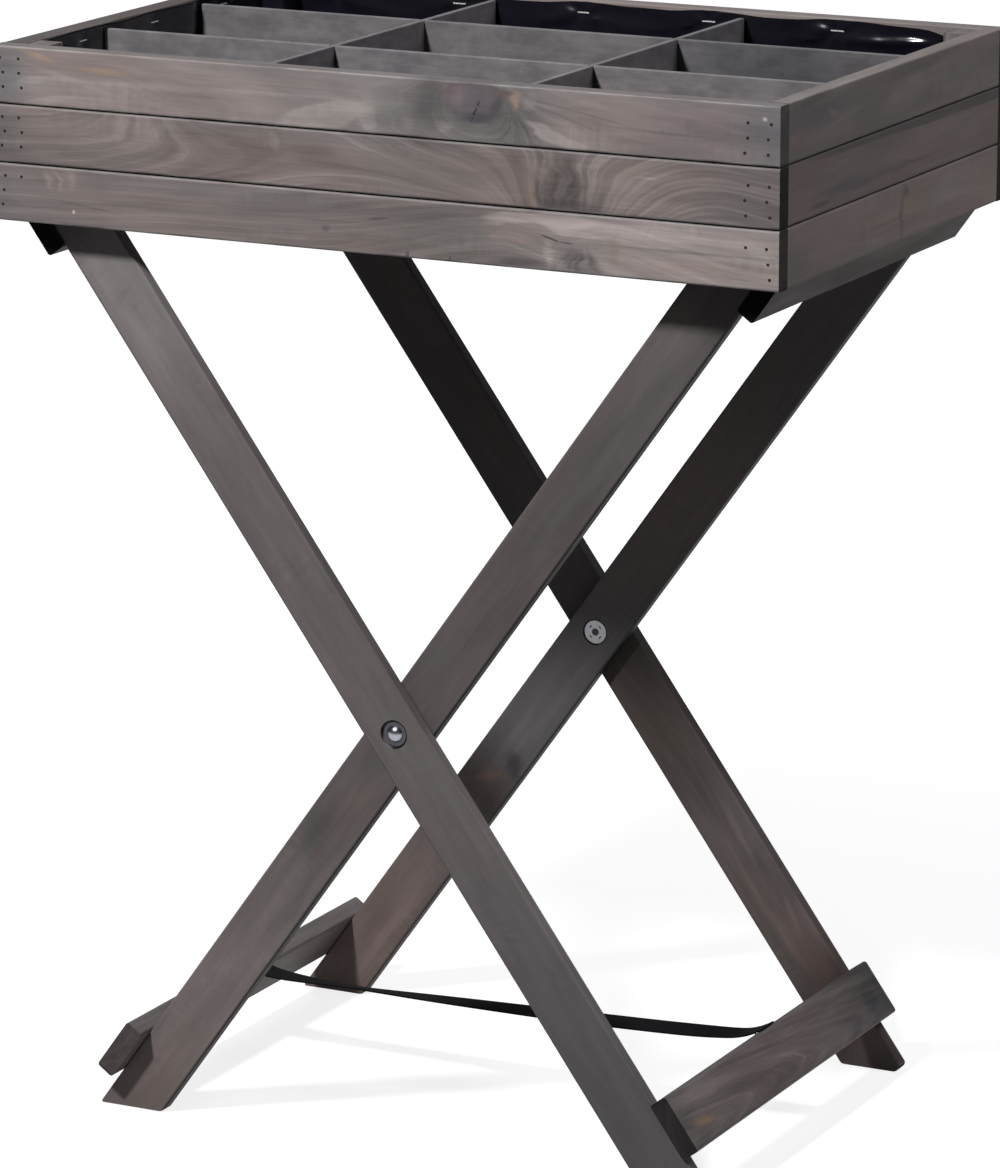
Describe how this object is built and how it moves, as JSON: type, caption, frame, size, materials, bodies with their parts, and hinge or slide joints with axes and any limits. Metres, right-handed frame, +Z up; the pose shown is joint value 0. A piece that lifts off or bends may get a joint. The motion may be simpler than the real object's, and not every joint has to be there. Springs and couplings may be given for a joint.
{
  "type": "herb planter table",
  "caption": "Raised wooden herb planter: a slatted box with a black liner and halved dividers, resting on a folding crossed-leg stand held open by a strap.",
  "frame": {"origin": "on the floor, under the middle of the planter box", "axes": "+X to the right along the long front, +Y from the front to the back, +Z up"},
  "size_m": [0.65, 0.428, 0.844],
  "materials": {
    "box_wood": "stained softwood boards, grey brown, sawn and lightly sanded",
    "stand_wood": "stained softwood, grey brown, planed with eased edges",
    "divider_wood": "stained thin board, grey",
    "dowel_wood": "plain hardwood dowel",
    "nail_steel": "dull wire nails",
    "staple_wire": "bright wire",
    "bolt_steel": "polished steel",
    "plated_steel": "zinc plated",
    "liner_film": "black plastic film",
    "strap_webbing": "black woven webbing"
  },
  "bodies": {
    "stand_outer": {"outer_frame_dowels": "dowel_wood", "outer_leg_back": "stand_wood", "outer_leg_front": "stand_wood", "outer_stretcher": "stand_wood", "outer_top_rail": "stand_wood", "spread_strap": "strap_webbing", "strap_staples_outer": "staple_wire"},
    "stand_inner": {"inner_frame_dowels": "dowel_wood", "inner_leg_back": "stand_wood", "inner_leg_front": "stand_wood", "inner_stretcher": "stand_wood", "inner_top_rail": "stand_wood", "pivot_bolt_back": "bolt_steel", "pivot_bolt_front": "bolt_steel", "pivot_head_washer_back": "bolt_steel", "pivot_head_washer_front": "bolt_steel", "pivot_spacer_back": "plated_steel", "pivot_spacer_front": "plated_steel", "pivot_tee_nut_back": "plated_steel", "pivot_tee_nut_front": "plated_steel", "strap_staples_inner": "staple_wire"},
    "planter": {"back_board_bottom": "box_wood", "back_board_middle": "box_wood", "back_board_top": "box_wood", "bearer_nails": "nail_steel", "corner_nails_back_left": "nail_steel", "corner_nails_back_right": "nail_steel", "corner_nails_front_left": "nail_steel", "corner_nails_front_right": "nail_steel", "corner_post_back_left": "box_wood", "corner_post_back_right": "box_wood", "corner_post_front_left": "box_wood", "corner_post_front_right": "box_wood", "floor_bearer_left": "box_wood", "floor_bearer_right": "box_wood", "floor_nails": "nail_steel", "floor_slat_1": "box_wood", "floor_slat_2": "box_wood", "floor_slat_3": "box_wood", "floor_slat_4": "box_wood", "floor_slat_5": "box_wood", "floor_slat_6": "box_wood", "floor_slat_7": "box_wood", "front_board_bottom": "box_wood", "front_board_middle": "box_wood", "front_board_top": "box_wood", "left_board_bottom": "box_wood", "left_board_middle": "box_wood", "left_board_top": "box_wood", "liner": "liner_film", "liner_staples": "staple_wire", "right_board_bottom": "box_wood", "right_board_middle": "box_wood", "right_board_top": "box_wood"},
    "divider_grid": {"cross_divider_back": "divider_wood", "cross_divider_front": "divider_wood", "depth_divider_left": "divider_wood", "depth_divider_right": "divider_wood"}
  },
  "joints": [
    {"name": "stand_fold", "type": "hinge", "parent": "stand_outer", "child": "stand_inner", "pos_m": [0, 0, 0.3375], "axis": [0, -1, 0], "range_deg": [0, 71], "deforming": ["spread_strap"]},
    {"name": "planter_lift", "type": "slide", "parent": "stand_outer", "child": "planter", "axis": [0, 0, 1], "range_m": [0, 0.5]},
    {"name": "divider_lift", "type": "slide", "parent": "planter", "child": "divider_grid", "axis": [0, 0, 1], "range_m": [0, 0.15]}
  ],
  "couplings": [
    {"joint": "stand_fold", "follows": "planter_lift", "rad_per_m": 2.47}
  ]
}
